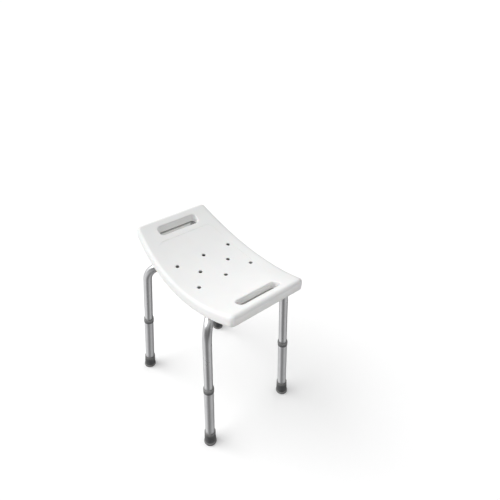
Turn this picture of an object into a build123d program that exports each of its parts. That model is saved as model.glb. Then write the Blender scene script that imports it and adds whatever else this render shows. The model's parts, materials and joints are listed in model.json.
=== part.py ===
from build123d import *
import math
import os

os.makedirs("parts", exist_ok=True)

# ---------------------------------------------------------------- dimensions (mm)
# Seat: a slab bent to an arc along X, low in the middle, with bowed long sides.
SEAT_LEN = 472.0          # between the upright end faces
SEAT_W_MID = 277.0        # width at the middle
SEAT_W_END = 238.5        # width at the ends
SEAT_T = 34.0             # thickness, measured square to the face
SEAT_Z = 515.5            # height of the middle of the top face
SEAT_R = 532.0            # radius of the saddle curve on the top face
SEAT_CORNER_R = 14.0      # corners in plan
SEAT_EDGE_R = 10.0        # roundness of the top rim
SEAT_UNDER_R = 6.0        # roundness of the bottom rim
WALL = 3.0                # blow-moulded wall

SLOT_X = 191.0            # centre of each hand slot
SLOT_LEN = 134.0
SLOT_W = 31.0
SLOT_CORNER_R = 11.5
SLOT_EDGE_R = 3.5         # roundness of its upper rim
SLOT_UNDER_R = 1.4        # roundness of its lower rim
SLOT_STEP = 1.4           # undercut where the two halves of the mould meet in the slot
SLOT_GAP = 1.2            # height of that undercut
SLOT_LIP = 4.0            # below it a lip stands in all round
SPLIT_DEPTH = 23.0        # depth of the undercut under the top face

HOLE_D = 11.0             # drain holes
HOLE_ROW_X = 54.5
HOLE_ROW_Y = 90.0
HOLE_MID_Y = 48.5
HOLE_EDGE_R = 1.6

PANEL_X = 155.0           # half length of the recessed sitting panel
PANEL_IN = 36.0           # its distance in from the long edges
PANEL_DEPTH = 0.45
PANEL_R = 22.0

# Frame: 25.4 mm tube. Each leg bends in under the seat on a slant and a second bend,
# the knee, turns it into the cross tube. The legs lean out lengthwise and splay sideways.
TUBE_OD = 25.4
TUBE_WALL = 1.5
BEND_R = 62.0             # at the top of the leg
SWEEP = 48.0              # slant of the run under the seat, from the X axis
KNEE_R = 45.0             # where the run meets the cross tube
CROSS_X = 100.0           # cross tubes, either side of the middle
LEAN = 4.3                # of each leg, lengthwise
SPLAY = 2.0               # of each leg, sideways
FOOT_X = 188.6            # leg axis at the floor
FOOT_Y = 152.3
AXIS_BELOW = 9.3          # cross tube axis below the seat's underside
GROOVE_R = TUBE_OD / 2 + 0.1
LEG_END = 85.0            # lower end of the upper tube, along the leg from the floor

# Lower leg, heights along the leg from the floor
LOW_OD = 28.6
LOW_ID = 26.0
LOW_BOTTOM = 7.0
LOW_TOP = 245.0
HOLE_PITCH = 25.0
HOLE_FIRST = 62.0
HOLE_COUNT = 7
ADJ_HOLE_D = 8.0
BUTTON_AT = 137.0

COLLAR_BOTTOM = 231.5
COLLAR_TOP = 248.5
COLLAR_OD = 31.6
FOOT_TOP = 50.0
FOOT_TOP_R = 16.9
FOOT_WALL_R = 17.5        # just above the base flange
FOOT_BOTTOM_R = 19.5      # base flange

BUTTON_D = 7.2
BUTTON_OUT = 17.1         # tip, from the leg axis
BUTTON_IN = 9.2           # back of the button

SCREW_Y = 45.0            # screws, either side of the middle
SCREW_D = 6.0
INSERT_D = 9.0

ZC = SEAT_Z + SEAT_R      # height of the centre of the saddle curve
PSI = math.asin((SEAT_LEN / 2 + 25) / (SEAT_R + SEAT_T))


def sin(a):
    return math.sin(math.radians(a))


def cos(a):
    return math.cos(math.radians(a))


# ---------------------------------------------------------------- seat
def off_axis(e):
    """Distance of an edge's middle from the axis of the saddle curve."""
    m = e @ 0.5
    return math.hypot(m.X, m.Z - ZC)


def slab(inset):
    """The seat's outer form, or the same form pulled in by a wall."""
    rt = SEAT_R + inset
    rb = SEAT_R + SEAT_T - inset
    top = ThreePointArc(
        (-rt * math.sin(PSI), ZC - rt * math.cos(PSI)),
        (0, ZC - rt),
        (rt * math.sin(PSI), ZC - rt * math.cos(PSI)),
    )
    bottom = ThreePointArc(
        (rb * math.sin(PSI), ZC - rb * math.cos(PSI)),
        (0, ZC - rb),
        (-rb * math.sin(PSI), ZC - rb * math.cos(PSI)),
    )
    outline = top + Line(top @ 1, bottom @ 0) + bottom + Line(bottom @ 1, top @ 0)
    bent = extrude(Plane.XZ * make_face(outline), amount=SEAT_W_MID, both=True)
    h0 = SEAT_W_MID / 2 - inset
    sag = (SEAT_W_MID - SEAT_W_END) / 2
    side_r = ((SEAT_LEN / 2) ** 2 + sag**2) / (2 * sag) - inset
    xe = SEAT_LEN / 2 - inset
    he = h0 - (side_r - math.sqrt(side_r**2 - xe**2))
    plan = make_face(
        ThreePointArc((-xe, -he), (0, -h0), (xe, -he))
        + Line((xe, -he), (xe, he))
        + ThreePointArc((xe, he), (0, h0), (-xe, he))
        + Line((-xe, he), (-xe, -he))
    )
    plan = fillet(plan.vertices(), SEAT_CORNER_R - inset)
    prism = Pos(0, 0, 440) * extrude(plan, amount=200)
    body = bent & prism
    body = body.solid() if not isinstance(body, Solid) else body
    body = body.fillet(
        SEAT_EDGE_R - inset, [e for e in body.edges() if abs(off_axis(e) - rt) < 0.3]
    )
    body = body.fillet(
        SEAT_UNDER_R - inset, [e for e in body.edges() if abs(off_axis(e) - rb) < 0.3]
    )
    return body.solid()


def upright(grow, x):
    """The upright prism of a hand slot, long in Y, grown by a margin all round."""
    face = RectangleRounded(SLOT_W + 2 * grow, SLOT_LEN + 2 * grow, SLOT_CORNER_R + grow)
    return Pos(x, 0, 440) * extrude(face, amount=200)


def top_z(x):
    return ZC - math.sqrt(SEAT_R**2 - x**2)


def under_z(x):
    return ZC - math.sqrt((SEAT_R + SEAT_T) ** 2 - x**2)


# Cross tube axis: on the arc AXIS_BELOW under the seat.
AX = CROSS_X
AZ = ZC - math.sqrt((SEAT_R + SEAT_T + AXIS_BELOW) ** 2 - AX**2)


def leg_point(sx, sy, h):
    """A point on a leg's axis, h along the leg from the floor."""
    return (
        sx * (FOOT_X - h * sin(LEAN) * cos(SPLAY)),
        sy * (FOOT_Y - h * sin(SPLAY)),
        h * cos(LEAN) * cos(SPLAY),
    )


# where the leg axis reaches the height of the cross tube, and the knee
CORNER_H = AZ / (cos(LEAN) * cos(SPLAY))
CORNER = leg_point(1, 1, CORNER_H)
KNEE_Y = CORNER[1] - (CORNER[0] - AX) * math.tan(math.radians(SWEEP))


def frame_path(sx):
    return FilletPolyline(
        leg_point(sx, -1, LEG_END),
        leg_point(sx, -1, CORNER_H),
        (sx * AX, -KNEE_Y, AZ),
        (sx * AX, KNEE_Y, AZ),
        leg_point(sx, 1, CORNER_H),
        leg_point(sx, 1, LEG_END),
        radius=[BEND_R, KNEE_R, KNEE_R, BEND_R],
    )


def frame_rod(sx, r):
    """A round bar of radius r along the whole axis of a frame tube."""
    path = frame_path(sx)
    return sweep(Plane(origin=path @ 0, z_dir=path % 0) * Circle(r), path)


DRAIN = (
    [(-HOLE_ROW_X, y) for y in (-HOLE_ROW_Y, 0, HOLE_ROW_Y)]
    + [(0, y) for y in (-HOLE_MID_Y, HOLE_MID_Y)]
    + [(HOLE_ROW_X, y) for y in (-HOLE_ROW_Y, 0, HOLE_ROW_Y)]
)


def make_seat():
    shell = slab(0)
    void = slab(WALL)
    # solid posts round every drain hole and screw, walls round every slot and groove
    for x, y in DRAIN:
        void -= Pos(x, y, 520) * Cylinder(HOLE_D / 2 + HOLE_EDGE_R + 1.6, 200)
    for x in (-SLOT_X, SLOT_X):
        void -= upright(SLOT_STEP + WALL, x)
    for s in (-1, 1):
        void -= Pos(s * AX, 0, AZ) * Rot(90, 0, 0) * Cylinder(GROOVE_R + WALL, 2 * KNEE_Y + 40)
        for y in (-SCREW_Y, SCREW_Y):
            void -= Pos(s * AX, y, AZ + 30) * Cylinder(INSERT_D / 2 + 3.0, 60)
    body = shell
    # recessed sitting panel, following the saddle
    h0 = SEAT_W_MID / 2 - PANEL_IN
    sag = (SEAT_W_MID - SEAT_W_END) / 2
    side_r = ((SEAT_LEN / 2) ** 2 + sag**2) / (2 * sag)
    he = h0 - (side_r - math.sqrt(side_r**2 - PANEL_X**2))
    plan = make_face(
        ThreePointArc((-PANEL_X, -he), (0, -h0), (PANEL_X, -he))
        + Line((PANEL_X, -he), (PANEL_X, he))
        + ThreePointArc((PANEL_X, he), (0, h0), (-PANEL_X, he))
        + Line((-PANEL_X, he), (-PANEL_X, -he))
    )
    plan = fillet(plan.vertices(), PANEL_R)
    tool = Pos(0, 0, 490) * extrude(plan, amount=120)
    bowl = Pos(0, 0, ZC) * Rot(90, 0, 0) * Cylinder(SEAT_R + PANEL_DEPTH, 500)
    body -= tool & bowl
    upper = Pos(0, 0, ZC) * Rot(90, 0, 0) * Cylinder(SEAT_R + SPLIT_DEPTH, 500)
    split = Pos(0, 0, ZC) * Rot(90, 0, 0) * Cylinder(SEAT_R + SPLIT_DEPTH + SLOT_GAP, 500)
    for x in (-SLOT_X, SLOT_X):
        body -= upright(-SLOT_LIP, x)
        body -= upright(0, x) & split
        body -= (upright(SLOT_STEP, x) & split) - upper
    for x, y in DRAIN:
        body -= Pos(x, y, 520) * Cylinder(HOLE_D / 2, 200)
    # round the rims of the slots and the holes, above and below
    def slot_rim(e, sx, r):
        c = e.bounding_box()
        return (
            abs(c.center().X - sx * SLOT_X) < SLOT_W / 2 + 3
            and max(abs(c.min.Y), abs(c.max.Y)) < SLOT_LEN / 2 + 3
            and abs(off_axis(e) - r) < 0.3
        )

    def hole_rim(e, x, y, top):
        c = e.bounding_box()
        return (
            math.hypot(c.center().X - x, c.center().Y - y) < 1.0
            and abs(c.max.X - c.min.X - HOLE_D) < 0.5
            and c.max.Z - c.min.Z < 6
            and (c.center().Z > (top_z(x) + under_z(x)) / 2) == top
        )

    for sx in (-1, 1):
        for r, rim in ((SEAT_R, SLOT_EDGE_R), (SEAT_R + SEAT_T, SLOT_UNDER_R)):
            body = body.fillet(rim, [e for e in body.edges() if slot_rim(e, sx, r)])
    for top in (True, False):
        for x, y in DRAIN:
            body = body.fillet(
                HOLE_EDGE_R, [e for e in body.edges() if hole_rim(e, x, y, top)]
            )
    # shallow grooves for the cross tubes, blind holes for the inserts
    for s in (-1, 1):
        body -= frame_rod(s, GROOVE_R)
        for y in (-SCREW_Y, SCREW_Y):
            body -= Pos(s * AX, y, AZ + 17.5) * Cylinder(INSERT_D / 2, 15.0)
    body -= void
    return body


# ---------------------------------------------------------------- frames
def leg_place(sx, sy):
    """Leg-local frame: origin where the leg axis meets the floor, Z up the leg."""
    return Pos(sx * FOOT_X, sy * FOOT_Y, 0) * Rot(0, -sx * LEAN, 0) * Rot(sy * SPLAY, 0, 0)


def bar(x0, x1, d):
    """A round bar along X in the leg frame, from x0 to x1, at the button's height."""
    return Pos((x0 + x1) / 2, 0, BUTTON_AT) * Rot(0, 90, 0) * Cylinder(d / 2, abs(x1 - x0))


def make_frame(sx):
    tube = frame_rod(sx, TUBE_OD / 2) - frame_rod(sx, TUBE_OD / 2 - TUBE_WALL)
    for y in (-SCREW_Y, SCREW_Y):
        tube -= Pos(sx * AX, y, AZ) * Cylinder(SCREW_D / 2 + 0.3, 40)
    for sy in (-1, 1):
        tube -= leg_place(sx, sy) * bar(-18, -8, ADJ_HOLE_D)
    return tube


# ---------------------------------------------------------------- lower legs
def make_lower(sx, sy):
    n = LOW_TOP - LOW_BOTTOM
    tube = Pos(0, 0, LOW_BOTTOM + n / 2) * (
        Cylinder(LOW_OD / 2, n) - Cylinder(LOW_ID / 2, n)
    )
    for i in range(HOLE_COUNT):
        z = HOLE_FIRST + i * HOLE_PITCH - BUTTON_AT
        tube -= Pos(0, 0, z) * bar(-20, -9, ADJ_HOLE_D)
    return leg_place(sx, sy) * tube


def ring(points):
    """A turned solid about the leg axis from (radius, height) points."""
    return revolve(Plane.XZ * make_face(Polyline(*points, close=True)), Axis.Z)


def make_collar(sx, sy):
    ro, rt, rl = COLLAR_OD / 2, LOW_OD / 2, LOW_ID / 2
    body = ring(
        [
            (rt, COLLAR_BOTTOM),
            (ro - 0.4, COLLAR_BOTTOM),
            (ro, COLLAR_BOTTOM + 9.5),
            (ro, COLLAR_BOTTOM + 12.0),
            (ro - 0.7, COLLAR_TOP),
            (rl, COLLAR_TOP),
            (rl, LOW_TOP),
            (rt, LOW_TOP),
        ]
    )
    edges = [
        e
        for e in body.edges().filter_by(GeomType.CIRCLE)
        if e.radius > ro - 1.2 and (abs(e.center().Z - COLLAR_TOP) < 0.1 or abs(e.center().Z - COLLAR_BOTTOM) < 0.1)
    ]
    body = fillet(edges, 0.6)
    return leg_place(sx, sy) * body


def make_foot(sx, sy):
    rt, rw, rb, ri = FOOT_TOP_R, FOOT_WALL_R, FOOT_BOTTOM_R, LOW_OD / 2
    side = ThreePointArc((rw, 7.4), (rw - 0.05, 26.0), (rt, FOOT_TOP))
    outline = (
        Polyline(
            (rt, FOOT_TOP), (ri, FOOT_TOP), (ri, LOW_BOTTOM), (0, LOW_BOTTOM),
            (0, -4.0), (rb, -4.0), (rb, 4.6), (rb - 0.5, 5.8), (rw, 7.4),
        )
        + side
    )
    body = revolve(Plane.XZ * make_face(outline), Axis.Z)
    top = [
        e
        for e in body.edges().filter_by(GeomType.CIRCLE)
        if abs(e.center().Z - FOOT_TOP) < 0.1 and e.radius > ri + 0.5
    ]
    body = fillet(top, 1.0)
    # two shallow rings moulded round the wall
    for z in (17.5, 27.0):
        body -= ring([(rw - 0.9, z), (rw + 3, z - 1.6), (rw + 3, z + 3.0), (rw - 0.9, z + 1.4)])
    body = leg_place(sx, sy) * body
    body -= Pos(sx * FOOT_X, sy * FOOT_Y, -50) * Box(80, 80, 100)
    base = [
        e
        for e in body.edges()
        if abs(e.bounding_box().max.Z) < 0.05 and e.length > 90
    ]
    body = fillet(base, 2.2)
    # grip rings in the sole
    for r0, r1 in ((6.5, 8.0), (11.0, 12.5)):
        body -= Pos(sx * FOOT_X, sy * FOOT_Y, 0.5) * (
            Cylinder(r1, 1.4) - Cylinder(r0, 1.4)
        )
    return body


def make_button(sx, sy):
    pin = bar(-BUTTON_OUT, -BUTTON_IN + 0.6, BUTTON_D)
    tip = pin.edges().filter_by(GeomType.CIRCLE).sort_by(Axis.X)[0]
    pin = fillet(tip, 2.4)
    pin += bar(-BUTTON_IN - 0.4, -BUTTON_IN + 0.6, BUTTON_D + 2.2)
    return leg_place(sx, sy) * pin


def make_spring(sx, sy):
    t, w = 0.6, 6.0
    back = -BUTTON_IN + 0.6 + t / 2
    path = FilletPolyline(
        (back, 0, BUTTON_AT - 7.0),
        (back, 0, BUTTON_AT + 7.0),
        (-1.5, 0, BUTTON_AT + 45.0),
        (5.5, 0, BUTTON_AT + 45.0),
        (10.2, 0, BUTTON_AT + 12.0),
        (10.2, 0, BUTTON_AT - 7.0),
        radius=2.5,
    )
    start = Plane(origin=path @ 0, x_dir=(0, 1, 0), z_dir=path % 0)
    return leg_place(sx, sy) * sweep(start * Rectangle(w, t), path)


# ---------------------------------------------------------------- fasteners
SADDLE_BOTTOM = TUBE_OD / 2 + 3.0


def make_screw(x, y):
    head = Pos(0, 0, -SADDLE_BOTTOM - 1.7) * Cylinder(5.5, 3.4)
    head = fillet(
        head.edges().filter_by(GeomType.CIRCLE).sort_by(Axis.Z)[0], 1.4
    )
    head -= Pos(0, 0, -SADDLE_BOTTOM - 3.4) * extrude(RegularPolygon(2.3, 6), amount=2.2)
    shank_top = 23.5
    shank = Pos(0, 0, (shank_top - SADDLE_BOTTOM) / 2) * Cylinder(
        SCREW_D / 2, shank_top + SADDLE_BOTTOM
    )
    return Pos(x, y, AZ) * (head + shank)


def make_saddle(x, y):
    block = Pos(0, 0, -SADDLE_BOTTOM + 3.5) * Box(18, 16, 7)
    block = fillet(block.edges().filter_by(Axis.Z), 4.0)
    block -= Rot(90, 0, 0) * Cylinder(TUBE_OD / 2 + 0.02, 60)
    block -= Cylinder(SCREW_D / 2 + 0.3, 60)
    return Pos(x, y, AZ) * block


def make_insert(x, y):
    sleeve = Cylinder(INSERT_D / 2, 10.0) - Cylinder(SCREW_D / 2 + 0.03, 10.0)
    return Pos(x, y, AZ + 20.0) * sleeve


SPOTS = [(s * AX, y) for s in (-1, 1) for y in (-SCREW_Y, SCREW_Y)]
LEGS = {
    "fr_near": (1, -1),
    "fr_far": (1, 1),
    "bk_near": (-1, -1),
    "bk_far": (-1, 1),
}

nodes = {
    "seat": make_seat(),
    "frame_front": make_frame(1),
    "frame_back": make_frame(-1),
    "frame_screws": [make_screw(x, y) for x, y in SPOTS],
    "frame_saddles": [make_saddle(x, y) for x, y in SPOTS],
    "seat_inserts": [make_insert(x, y) for x, y in SPOTS],
}
for name, (sx, sy) in LEGS.items():
    nodes["tube_" + name] = make_lower(sx, sy)
    nodes["collar_" + name] = make_collar(sx, sy)
    nodes["foot_" + name] = make_foot(sx, sy)
    nodes["button_" + name] = make_button(sx, sy)
    nodes["spring_" + name] = make_spring(sx, sy)

for name, shape in nodes.items():
    solids = []
    for s in shape if isinstance(shape, list) else [shape]:
        solids += list(s.solids())
    out = solids[0] if len(solids) == 1 else Compound(solids)
    print(name, len(solids), round(sum(s.volume for s in solids) / 1000, 2), all(s.is_valid for s in solids))
    export_step(out, "parts/" + name + ".step")
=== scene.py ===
import json
import math

import bpy
from mathutils import Matrix, Vector


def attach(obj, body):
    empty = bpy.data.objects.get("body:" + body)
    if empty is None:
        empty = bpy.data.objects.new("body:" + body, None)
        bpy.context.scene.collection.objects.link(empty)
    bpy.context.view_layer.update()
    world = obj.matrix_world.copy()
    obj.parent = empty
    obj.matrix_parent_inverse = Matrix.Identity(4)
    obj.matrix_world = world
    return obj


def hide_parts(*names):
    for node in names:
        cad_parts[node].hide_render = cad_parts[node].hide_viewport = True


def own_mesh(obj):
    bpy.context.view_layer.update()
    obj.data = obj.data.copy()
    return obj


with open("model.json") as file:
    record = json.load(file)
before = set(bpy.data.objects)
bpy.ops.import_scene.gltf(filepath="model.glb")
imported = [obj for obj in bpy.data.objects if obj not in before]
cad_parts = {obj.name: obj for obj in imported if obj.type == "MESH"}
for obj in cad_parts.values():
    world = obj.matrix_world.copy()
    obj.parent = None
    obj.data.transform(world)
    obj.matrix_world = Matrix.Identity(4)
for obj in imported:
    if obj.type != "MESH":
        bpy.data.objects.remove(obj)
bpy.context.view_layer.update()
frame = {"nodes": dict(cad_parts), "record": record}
nodes = frame["nodes"]

# ------------------------------------------------------------------ sizes shared with the CAD, in metres
SEAT_R, SEAT_T, SEAT_Z = 0.532, 0.034, 0.5155      # saddle radius, thickness, height of the middle
SEAT_CENTRE_Z = SEAT_Z + SEAT_R
SEAT_HALF, SEAT_BOW = 0.1385, 0.3433               # half width in the middle, bow of the long sides
FOOT_X, FOOT_Y = 0.1886, 0.1523                    # leg axes at the floor
LEAN, SPLAY = math.radians(4.3), math.radians(2.0)
SLOT_X, SLOT_W, SLOT_LEN = 0.191, 0.0310, 0.134    # hand slots
HOLE_R, HOLE_ROW_X, HOLE_ROW_Y, HOLE_MID_Y = 0.0055, 0.0545, 0.090, 0.0485


# ------------------------------------------------------------------ studio levels
KEY = 1.83
FLOOR_GLOW = 0.145
ZENITH = 0.81
LOW_STOPS = [(-3.14, 0.18), (-2.35, 0.34), (-1.8, 0.90), (-1.0, 0.84), (-0.3, 0.24), (0.25, 0.23), (0.95, 0.60), (1.6, 0.56), (2.15, 0.14)]
HIGH_STOPS = [(-3.14, 0.64), (-2.3, 0.66), (-1.80, 1.35), (-1.35, 0.54), (-0.85, 0.15), (0.0, 0.20), (0.73, 0.10), (1.6, 0.44), (2.6, 0.62)]


# ------------------------------------------------------------------ node helpers
class Nodes:
    """A small wrapper that makes a material's nodes and links them."""

    def __init__(self, name):
        self.mat = bpy.data.materials.new(name)
        self.mat.use_nodes = True
        self.tree = self.mat.node_tree
        self.tree.nodes.clear()
        self.out = self.tree.nodes.new("ShaderNodeOutputMaterial")
        self.bsdf = self.tree.nodes.new("ShaderNodeBsdfPrincipled")
        self.link(self.bsdf.outputs["BSDF"], self.out.inputs["Surface"])
        self.coord = self.tree.nodes.new("ShaderNodeTexCoord").outputs["Object"]

    def link(self, a, b):
        self.tree.links.new(a, b)

    def put(self, socket, value):
        if isinstance(value, bpy.types.NodeSocket):
            self.link(value, socket)
        else:
            socket.default_value = value

    def stretch(self, scale, vector=None, rotation=(0, 0, 0)):
        n = self.tree.nodes.new("ShaderNodeMapping")
        n.inputs["Scale"].default_value = scale
        n.inputs["Rotation"].default_value = rotation
        self.link(vector or self.coord, n.inputs["Vector"])
        return n.outputs["Vector"]

    def noise(self, scale, detail=2.0, rough=0.5, vector=None, distortion=0.0):
        n = self.tree.nodes.new("ShaderNodeTexNoise")
        n.inputs["Scale"].default_value = scale
        n.inputs["Detail"].default_value = detail
        n.inputs["Roughness"].default_value = rough
        n.inputs["Distortion"].default_value = distortion
        self.link(vector or self.coord, n.inputs["Vector"])
        return n.outputs["Fac"]

    def voronoi(self, scale, vector=None, feature="F1"):
        n = self.tree.nodes.new("ShaderNodeTexVoronoi")
        n.feature = feature
        n.inputs["Scale"].default_value = scale
        self.link(vector or self.coord, n.inputs["Vector"])
        return n.outputs["Distance"]

    def math(self, op, a, b=0.0, c=0.0, clamp=False):
        n = self.tree.nodes.new("ShaderNodeMath")
        n.operation = op
        n.use_clamp = clamp
        for s, v in zip(n.inputs, (a, b, c)):
            self.put(s, v)
        return n.outputs[0]

    def remap(self, value, a, b, lo=0.0, hi=1.0, smooth=False):
        n = self.tree.nodes.new("ShaderNodeMapRange")
        n.interpolation_type = "SMOOTHSTEP" if smooth else "LINEAR"
        self.put(n.inputs["Value"], value)
        for k, v in (("From Min", a), ("From Max", b), ("To Min", lo), ("To Max", hi)):
            n.inputs[k].default_value = v
        return n.outputs["Result"]

    def mix(self, fac, a, b):
        n = self.tree.nodes.new("ShaderNodeMix")
        n.data_type = "RGBA"
        self.put(n.inputs["Factor"], fac)
        self.put(n.inputs[6], a if isinstance(a, bpy.types.NodeSocket) else (*a, 1.0))
        self.put(n.inputs[7], b if isinstance(b, bpy.types.NodeSocket) else (*b, 1.0))
        return n.outputs[2]

    def axes(self):
        n = self.tree.nodes.new("ShaderNodeSeparateXYZ")
        self.link(self.coord, n.inputs[0])
        return n.outputs["X"], n.outputs["Y"], n.outputs["Z"]

    def up_leg(self):
        """Height along the leaning leg, from the middle of the sole."""
        x, y, z = self.axes()
        out_x = self.math("SUBTRACT", self.math("ABSOLUTE", x), FOOT_X)
        out_y = self.math("SUBTRACT", self.math("ABSOLUTE", y), FOOT_Y)
        h = self.math("MULTIPLY", z, math.cos(LEAN) * math.cos(SPLAY))
        h = self.math("SUBTRACT", h, self.math("MULTIPLY", out_x, math.sin(LEAN)))
        return self.math("SUBTRACT", h, self.math("MULTIPLY", out_y, math.sin(SPLAY)))

    def bump(self, height, strength, distance, normal=None):
        n = self.tree.nodes.new("ShaderNodeBump")
        n.inputs["Strength"].default_value = strength
        n.inputs["Distance"].default_value = distance
        self.link(height, n.inputs["Height"])
        if normal is not None:
            self.link(normal, n.inputs["Normal"])
        return n.outputs["Normal"]

    def done(self, color=None, rough=None, normal=None, **plain):
        b = self.bsdf.inputs
        if color is not None:
            self.put(b["Base Color"], color if isinstance(color, bpy.types.NodeSocket) else (*color, 1.0))
        if rough is not None:
            self.put(b["Roughness"], rough)
        if normal is not None:
            self.link(normal, b["Normal"])
        for k, v in plain.items():
            b[k.replace("_", " ")].default_value = v
        return self.mat


# ------------------------------------------------------------------ materials
# strength of the painted shade on the walls of the back and front hand slots
SLOT_SHADE_BACK, SLOT_SHADE_FRONT = 0.0, 0.22
SPLIT = 0.023                                      # depth of the undercut in the slots
# levels of painted shade in the undercut gap and on the lip below it
GAP_SHADE, LIP_SHADE = 0.95, 0.30


def seat_plastic():
    """White blow-moulded polyethylene: fine grain from the mould, a faint ripple of the wall, a parting line."""
    m = Nodes("seat_plastic_white")
    x, y, z = m.axes()
    broad = m.noise(4.0, 3.0)
    cloud = m.noise(26.0, 4.0, 0.6)
    tone = m.mix(m.remap(broad, 0.35, 0.65), (0.800, 0.802, 0.800), (0.832, 0.832, 0.826))
    tone = m.mix(m.math("MULTIPLY", m.remap(cloud, 0.50, 0.78), 0.25), tone, (0.775, 0.772, 0.760))
    # tiny dark flecks, far apart, as recycled polyethylene has
    fleck = m.remap(m.voronoi(150.0), 0.012, 0.030, 1.0, 0.0)
    rare = m.remap(m.noise(60.0, 1.0), 0.66, 0.70)
    tone = m.mix(m.math("MULTIPLY", m.math("MULTIPLY", fleck, rare), 0.35), tone, (0.52, 0.50, 0.46))
    # painted shade darkens the recesses: the hand slots towards their lips, the drain holes inside
    dz = m.math("SUBTRACT", z, SEAT_CENTRE_Z)
    r = m.math("SQRT", m.math("ADD", m.math("MULTIPLY", x, x), m.math("MULTIPLY", dz, dz)))
    depth = m.math("SUBTRACT", r, SEAT_R)
    ax, ay = m.math("ABSOLUTE", x), m.math("ABSOLUTE", y)
    across = m.math("ABSOLUTE", m.math("SUBTRACT", ax, SLOT_X))
    slot = m.math(
        "MULTIPLY",
        m.remap(across, SLOT_W / 2 + 0.0004, SLOT_W / 2 + 0.0024, 1.0, 0.0, smooth=True),
        m.remap(ay, SLOT_LEN / 2 + 0.0004, SLOT_LEN / 2 + 0.0024, 1.0, 0.0, smooth=True),
    )
    shade_mottle = m.remap(m.noise(45.0, 4.0, 0.6), 0.25, 0.75, 0.80, 1.0)
    inside = slot
    # painted light makes the back end a touch whiter; painted shade greys the far long edge and the far front corner of
    # the top
    tone = m.mix(m.remap(x, -0.12, -0.20, 0.0, 0.45, smooth=True), tone, (0.905, 0.905, 0.898))
    edge = m.math("ADD", m.math("SUBTRACT", y, SEAT_HALF), m.math("MULTIPLY", m.math("MULTIPLY", x, x), SEAT_BOW))
    far_edge = m.remap(edge, -0.0185, -0.0060, 0.0, 0.33, smooth=True)
    far_front = m.math("MULTIPLY", m.remap(edge, -0.075, -0.012, 0.0, 0.34, smooth=True), m.remap(x, 0.03, 0.17, smooth=True))
    top_shade = m.math("MULTIPLY", m.math("ADD", far_edge, far_front), m.remap(depth, 0.004, 0.012, 1.0, 0.0, smooth=True))
    tone = m.mix(m.math("MULTIPLY", top_shade, shade_mottle), tone, (0.600, 0.600, 0.592))
    # painted shade greys the lower half of the walls and, more strongly, the bottom rim
    low_shade_mottle = m.remap(m.noise(30.0, 4.0, 0.6), 0.25, 0.75, 0.75, 1.0)
    low_wall_shade = m.math("MULTIPLY", m.remap(depth, 0.0150, 0.0320, 0.0, 0.34, smooth=True), low_shade_mottle)
    tone = m.mix(low_wall_shade, tone, (0.600, 0.596, 0.580))
    low_rim_shade = m.math("MULTIPLY", m.remap(depth, 0.0285, 0.0325, 0.0, 0.45, smooth=True), low_shade_mottle)
    tone = m.mix(low_rim_shade, tone, (0.480, 0.475, 0.460))
    # painted light whitens the wall of the back slot; painted shade darkens the wall of the front slot with depth
    back_slot_light = m.math("MULTIPLY", m.remap(x, -0.15, -0.10, 1.0, 0.0), m.remap(depth, 0.0015, 0.0060, smooth=True))
    tone = m.mix(m.math("MULTIPLY", inside, back_slot_light), tone, (0.930, 0.930, 0.922))
    slot = m.math("MULTIPLY", m.math("MULTIPLY", inside, shade_mottle), m.remap(depth, 0.0040, 0.0175, smooth=True))
    slot = m.math("MULTIPLY", slot, m.remap(x, -0.15, 0.15, SLOT_SHADE_BACK, SLOT_SHADE_FRONT))
    tone = m.mix(slot, tone, (0.330, 0.325, 0.300))
    # painted shade in the undercut where the halves of the mould meet, and a little on the lip below it
    seat_lip = m.math("MULTIPLY", inside, m.remap(depth, SPLIT - 0.0003, SPLIT + 0.0002))
    lip_shade = m.remap(depth, SPLIT + 0.0008, SPLIT + 0.0020, GAP_SHADE, LIP_SHADE, smooth=True)
    # the painted shade is darkest in the far corner of the back slot
    corner_shade = m.math("MULTIPLY", m.remap(y, 0.044, 0.056, 0.0, 0.92, smooth=True), m.remap(x, -0.15, -0.10, 1.0, 0.0))
    lip_shade = m.math("MULTIPLY", m.math("MAXIMUM", lip_shade, corner_shade), m.remap(x, -0.15, 0.15, 1.0, 0.48))
    tone = m.mix(m.math("MULTIPLY", m.math("MULTIPLY", seat_lip, shade_mottle), lip_shade), tone, (0.16, 0.155, 0.145))

    def reach(hx, hy):
        a, b = m.math("SUBTRACT", ax, hx), m.math("SUBTRACT", ay, hy)
        return m.math("SQRT", m.math("ADD", m.math("MULTIPLY", a, a), m.math("MULTIPLY", b, b)))

    # painted shade darkens the inside of the drain holes
    near = m.math("MINIMUM", m.math("MINIMUM", reach(HOLE_ROW_X, 0.0), reach(HOLE_ROW_X, HOLE_ROW_Y)), reach(0.0, HOLE_MID_Y))
    hole_shade = m.math("MULTIPLY", m.remap(near, HOLE_R + 0.0002, HOLE_R + 0.0012, 1.0, 0.0, smooth=True), m.remap(depth, 0.0006, 0.0085, smooth=True))
    tone = m.mix(m.math("MULTIPLY", hole_shade, 0.96), tone, (0.050, 0.049, 0.046))
    # parting line half way through the thickness
    off = m.math("ABSOLUTE", m.math("SUBTRACT", r, SEAT_R + SEAT_T / 2))
    seam = m.remap(off, 0.0002, 0.0007, 1.0, 0.0, smooth=True)
    grain = m.noise(1500.0, 2.0, 0.6)
    peel = m.noise(330.0, 2.0, 0.5)
    ripple = m.noise(22.0, 1.5, 0.4)
    n = m.bump(ripple, 0.10, 0.0010)
    n = m.bump(peel, 0.10, 0.00022, n)
    n = m.bump(grain, 0.16, 0.00008, n)
    n = m.bump(seam, 0.5, 0.00012, n)
    rub_and_light = m.noise(70.0, 5.0, 0.65)
    rough = m.math("ADD", m.remap(rub_and_light, 0.3, 0.7, 0.36, 0.46), m.math("MULTIPLY", m.remap(grain, 0.3, 0.7), 0.05))
    return m.done(tone, rough, n, Specular_IOR_Level=0.42, IOR=1.5, Subsurface_Weight=0.06, Subsurface_Scale=0.004)


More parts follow.
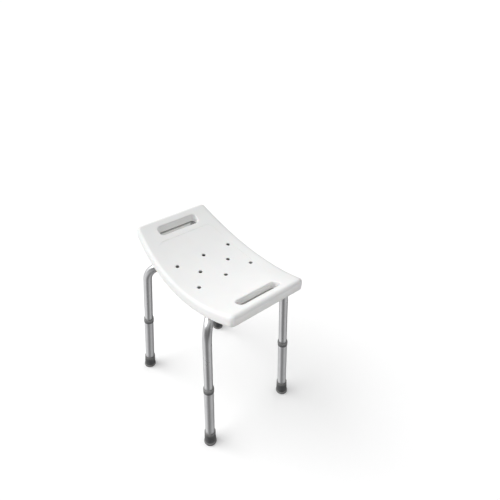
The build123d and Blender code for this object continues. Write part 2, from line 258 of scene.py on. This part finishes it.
def aluminium(name, dark, light, lo, hi, cross):
    """Satin anodised tube: drawing lines along its length, cloudy anodising, a few handling marks."""
    m = Nodes(name)
    x, y, z = m.axes()
    along_leg = m.noise(1.0, 3.0, 0.6, m.stretch((1500, 1500, 9)))
    lines = along_leg
    if cross:
        along_cross = m.noise(1.0, 3.0, 0.6, m.stretch((1500, 9, 1500)))
        part = m.remap(m.math("ABSOLUTE", y), 0.062, 0.110, 0.0, 1.0, smooth=True)
        n = m.tree.nodes.new("ShaderNodeMix")
        m.put(n.inputs["Factor"], part)
        m.put(n.inputs[2], along_cross)
        m.put(n.inputs[3], along_leg)
        lines = n.outputs[0]
    cloud = m.noise(38.0, 4.0, 0.6)
    tone = m.mix(m.remap(lines, 0.3, 0.7), dark, light)
    tone = m.mix(m.math("MULTIPLY", m.remap(cloud, 0.45, 0.75), 0.35), tone, tuple(0.88 * c for c in dark))
    marks = m.remap(m.noise(1.0, 2.0, 0.5, m.stretch((420, 420, 60), rotation=(0.3, 0.5, 0.2))), 0.70, 0.78)
    rough = m.math("ADD", m.remap(cloud, 0.3, 0.7, lo, hi), m.math("MULTIPLY", m.remap(lines, 0.25, 0.75), 0.06))
    rough = m.math("SUBTRACT", rough, m.math("MULTIPLY", marks, 0.07))
    n = m.bump(lines, 0.10, 0.00005)
    n = m.bump(marks, 0.08, 0.00005, n)
    return m.done(tone, rough, n, Metallic=1.0)


def grey_plastic(name, dark, light, lit_span=None):
    """Injection moulded dark grey nylon with a spark-eroded grain; its top is painted paler between the given heights,
    as a painted highlight.
    """
    m = Nodes(name)
    cloud = m.noise(60.0, 4.0, 0.6)
    grain = m.noise(1700.0, 2.0, 0.6)
    tone = m.mix(m.remap(cloud, 0.3, 0.7), dark, light)
    tone = m.mix(m.math("MULTIPLY", m.remap(grain, 0.55, 0.8), 0.3), tone, tuple(1.5 * c for c in light))
    rough = m.remap(m.noise(110.0, 4.0, 0.6), 0.3, 0.7, 0.40, 0.54)
    if lit_span:
        # painted highlight: the top is made paler and a little rougher
        rub_and_light = m.remap(m.noise(160.0, 4.0, 0.65), 0.30, 0.70, 0.72, 1.0)
        rub_and_light = m.math("MULTIPLY", m.remap(m.up_leg(), lit_span[0], lit_span[1], smooth=True), rub_and_light)
        tone = m.mix(rub_and_light, tone, (0.285, 0.285, 0.282))
        rough = m.math("ADD", rough, m.math("MULTIPLY", rub_and_light, 0.08))
    n = m.bump(grain, 0.22, 0.00010)
    return m.done(tone, rough, n, Specular_IOR_Level=0.5)


def rubber():
    """Dark grey moulded rubber, with painted highlights on the shoulder of its base and on its top rim."""
    m = Nodes("foot_rubber_grey")
    cloud = m.noise(75.0, 4.0, 0.65)
    grain = m.noise(1300.0, 3.0, 0.65)
    tone = m.mix(m.remap(cloud, 0.3, 0.7), (0.046, 0.047, 0.049), (0.082, 0.083, 0.085))
    h = m.up_leg()
    patchy = m.remap(m.noise(180.0, 4.0, 0.7), 0.30, 0.75, 0.45, 1.0)
    # painted highlights on the shoulder of the base and on the rim at the top
    lit_shoulder = m.math("MULTIPLY", m.remap(h, 0.0036, 0.0054, 0.0, 1.0, smooth=True), m.remap(h, 0.0078, 0.0100, 1.0, 0.0, smooth=True))
    lit_rim = m.remap(h, 0.036, 0.0495, 0.0, 0.70, smooth=True)
    highlight = m.math("MULTIPLY", m.math("MAXIMUM", lit_shoulder, lit_rim), patchy)
    tone = m.mix(m.math("MULTIPLY", highlight, 0.85), tone, (0.33, 0.325, 0.315))
    rough = m.math("ADD", m.remap(cloud, 0.3, 0.7, 0.44, 0.56), m.math("MULTIPLY", highlight, 0.2))
    n = m.bump(grain, 0.28, 0.00012)
    n = m.bump(cloud, 0.10, 0.0004, n)
    return m.done(tone, rough, n, Specular_IOR_Level=0.5)


def turned_metal(name, dark, light, lo, hi, scale=(900, 900, 900)):
    m = Nodes(name)
    fine = m.noise(1.0, 3.0, 0.6, m.stretch(scale))
    cloud = m.noise(220.0, 4.0, 0.6)
    tone = m.mix(m.remap(fine, 0.3, 0.7), dark, light)
    tone = m.mix(m.math("MULTIPLY", m.remap(cloud, 0.5, 0.75), 0.4), tone, tuple(0.8 * c for c in dark))
    rough = m.remap(cloud, 0.3, 0.7, lo, hi)
    n = m.bump(fine, 0.14, 0.00005)
    return m.done(tone, rough, n, Metallic=1.0)


made = {
    "seat_plastic": seat_plastic(),
    "frame_aluminium": aluminium("frame_aluminium_satin", (0.70, 0.705, 0.715), (0.80, 0.805, 0.815), 0.24, 0.31, True),
    "leg_aluminium": aluminium("leg_aluminium_satin", (0.71, 0.715, 0.725), (0.80, 0.805, 0.815), 0.35, 0.43, False),
    "collar_plastic": grey_plastic("collar_plastic_grey", (0.088, 0.089, 0.092), (0.116, 0.117, 0.120), (0.2372, 0.2490)),
    "saddle_plastic": grey_plastic("saddle_plastic_grey", (0.070, 0.071, 0.074), (0.095, 0.096, 0.099)),
    "foot_rubber": rubber(),
    "button_steel": turned_metal("button_steel_plated", (0.58, 0.58, 0.57), (0.68, 0.68, 0.67), 0.18, 0.30),
    "spring_steel": turned_metal("spring_steel_rolled", (0.34, 0.35, 0.37), (0.44, 0.45, 0.47), 0.25, 0.38, (1400, 1400, 40)),
    "screw_steel": turned_metal("screw_steel_zinc", (0.60, 0.60, 0.59), (0.72, 0.72, 0.71), 0.22, 0.36),
    "insert_brass": turned_metal("insert_brass_turned", (0.70, 0.52, 0.24), (0.80, 0.62, 0.32), 0.24, 0.36, (40, 40, 1600)),
}
slot_of = {s["node"]: s["material_slot"] for s in frame["record"]["subparts"]}
for name, obj in nodes.items():
    obj.data.materials.clear()
    obj.data.materials.append(made[slot_of[name]])

# ------------------------------------------------------------------ leaf springs
# each spring with a press joint is copied into a leaf of its own on the stool body, and the CAD spring is hidden
for joint in frame["record"]["behaviour"]["joints"]:
    if not joint["name"].endswith("_press"):
        continue
    leg = joint["name"][:-len("_press")]
    node = nodes["spring_" + leg]
    leaf = bpy.data.objects.new("leaf_spring_" + leg, node.data.copy())
    bpy.context.scene.collection.objects.link(leaf)
    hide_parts("spring_" + leg)
    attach(leaf, "stool")
    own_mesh(leaf)

# ------------------------------------------------------------------ floor
bpy.ops.mesh.primitive_circle_add(vertices=96, radius=16.0, fill_type="NGON", location=(0, 0, -0.0002))
floor = bpy.context.object
floor.name = "studio_floor"
fm = Nodes("studio_floor_white")
ftone = fm.mix(fm.remap(fm.noise(2.0, 2.0), 0.3, 0.7), (0.86, 0.86, 0.86), (0.88, 0.88, 0.88))
fm.done(ftone, 0.75, None, Specular_IOR_Level=0.15)
fm.bsdf.inputs["Emission Color"].default_value = (1.0, 1.0, 1.0, 1.0)
fm.bsdf.inputs["Emission Strength"].default_value = FLOOR_GLOW
floor.data.materials.append(fm.mat)
floor.visible_glossy = False

# a pale backdrop that only the camera sees; the light comes from the studio below
bpy.ops.mesh.primitive_uv_sphere_add(segments=96, ring_count=48, radius=15.8, location=(0, 0, 0))
dome = bpy.context.object
dome.name = "studio_backdrop"
dm = Nodes("studio_backdrop_white")
dm.done((0.0, 0.0, 0.0), 1.0, None, Specular_IOR_Level=0.0)
dglow = dm.mix(dm.remap(dm.axes()[2], 0.0, 9.0, smooth=True), (0.86, 0.86, 0.86), (0.62, 0.625, 0.63))
dm.put(dm.bsdf.inputs["Emission Color"], dglow)
dm.bsdf.inputs["Emission Strength"].default_value = 1.0
dome.data.materials.append(dm.mat)
dome.visible_diffuse = False
dome.visible_glossy = False
dome.visible_transmission = False
dome.visible_shadow = False

# ------------------------------------------------------------------ light
# A white studio: a very wide soft key from the left, pale walls, a darker side towards the lower right.
world = bpy.data.worlds.new("studio")
bpy.context.scene.world = world
world.use_nodes = True
wt = world.node_tree
wt.nodes.clear()


def wnode(kind, **values):
    n = wt.nodes.new(kind)
    for k, v in values.items():
        setattr(n, k, v)
    return n


def wlink(a, b):
    wt.links.new(a, b)


def ramp(source, stops, lo, hi):
    """A smooth curve of grey levels over a value that runs from lo to hi."""
    m = wnode("ShaderNodeMapRange")
    m.inputs["From Min"].default_value, m.inputs["From Max"].default_value = lo, hi
    wlink(source, m.inputs["Value"])
    r = wnode("ShaderNodeValToRGB")
    r.color_ramp.interpolation = "EASE"
    e = r.color_ramp.elements
    while len(e) < len(stops):
        e.new(0.5)
    for k, (at, level) in enumerate(stops):
        e[k].position = (at - lo) / (hi - lo)
        e[k].color = (level, level, level, 1.0)
    wlink(m.outputs["Result"], r.inputs["Fac"])
    return r.outputs["Color"]


direction = wnode("ShaderNodeTexCoord").outputs["Generated"]
part = wnode("ShaderNodeSeparateXYZ")
wlink(direction, part.inputs[0])


def along(vector):
    n = wnode("ShaderNodeVectorMath", operation="DOT_PRODUCT")
    wlink(direction, n.inputs[0])
    n.inputs[1].default_value = vector
    return n.outputs["Value"]


turn_angle = wnode("ShaderNodeMath", operation="ARCTAN2")
wlink(along((0.665, 0.747, 0.0)), turn_angle.inputs[0])
wlink(along((0.747, -0.665, 0.0)), turn_angle.inputs[1])
compass = turn_angle.outputs[0]
# floor and low walls as the polished tubes mirror them, and the walls and ceiling above
low = ramp(compass, LOW_STOPS, -math.pi, math.pi)
high = ramp(compass, HIGH_STOPS, -math.pi, math.pi)
rise = wnode("ShaderNodeMapRange", interpolation_type="SMOOTHSTEP")
rise.inputs["From Min"].default_value, rise.inputs["From Max"].default_value = -0.42, 0.02
wlink(part.outputs["Z"], rise.inputs["Value"])
blend = wnode("ShaderNodeMix", data_type="RGBA")
wlink(rise.outputs["Result"], blend.inputs["Factor"])
wlink(low, blend.inputs[6])
wlink(high, blend.inputs[7])
lift = wnode("ShaderNodeMapRange", interpolation_type="SMOOTHSTEP")
lift.inputs["From Min"].default_value, lift.inputs["From Max"].default_value = 0.45, 0.90
wlink(part.outputs["Z"], lift.inputs["Value"])
ceiling = wnode("ShaderNodeMix", data_type="RGBA")
wlink(lift.outputs["Result"], ceiling.inputs["Factor"])
wlink(blend.outputs[2], ceiling.inputs[6])
ceiling.inputs[7].default_value = (ZENITH, ZENITH, ZENITH, 1.0)
bg = wnode("ShaderNodeBackground")
bg.inputs["Strength"].default_value = 1.0
wlink(ceiling.outputs[2], bg.inputs["Color"])
wout = wnode("ShaderNodeOutputWorld")
wlink(bg.outputs["Background"], wout.inputs["Surface"])

sun = bpy.data.lights.new("key_left", "SUN")
sun.energy = KEY
sun.angle = math.radians(56.0)
key = bpy.data.objects.new("key_left", sun)
bpy.context.scene.collection.objects.link(key)
key.rotation_mode = "QUATERNION"
key.rotation_quaternion = Vector((0.44, 0.55, -0.706)).to_track_quat("-Z", "Y")

# ------------------------------------------------------------------ camera
AZ, PITCH, ROLL = 0.8437, 0.6529, 0.0617
cam = bpy.data.cameras.new("photo_camera")
cam.sensor_width = 36.0
cam.lens = 36.0 * 440.436 / 500.0
cam.clip_start, cam.clip_end = 0.05, 60.0
camera = bpy.data.objects.new("photo_camera", cam)
bpy.context.scene.collection.objects.link(camera)
turn = Matrix.Rotation(AZ, 4, "Z") @ Matrix.Rotation(math.pi / 2 - PITCH, 4, "X") @ Matrix.Rotation(ROLL, 4, "Z")
camera.matrix_world = Matrix.Translation((0.7944, -0.5744, 1.32327)) @ turn
bpy.context.scene.camera = camera

view = bpy.context.scene.view_settings
view.view_transform = "Standard"
view.look = "None"
view.exposure = 0.0
view.gamma = 1.0
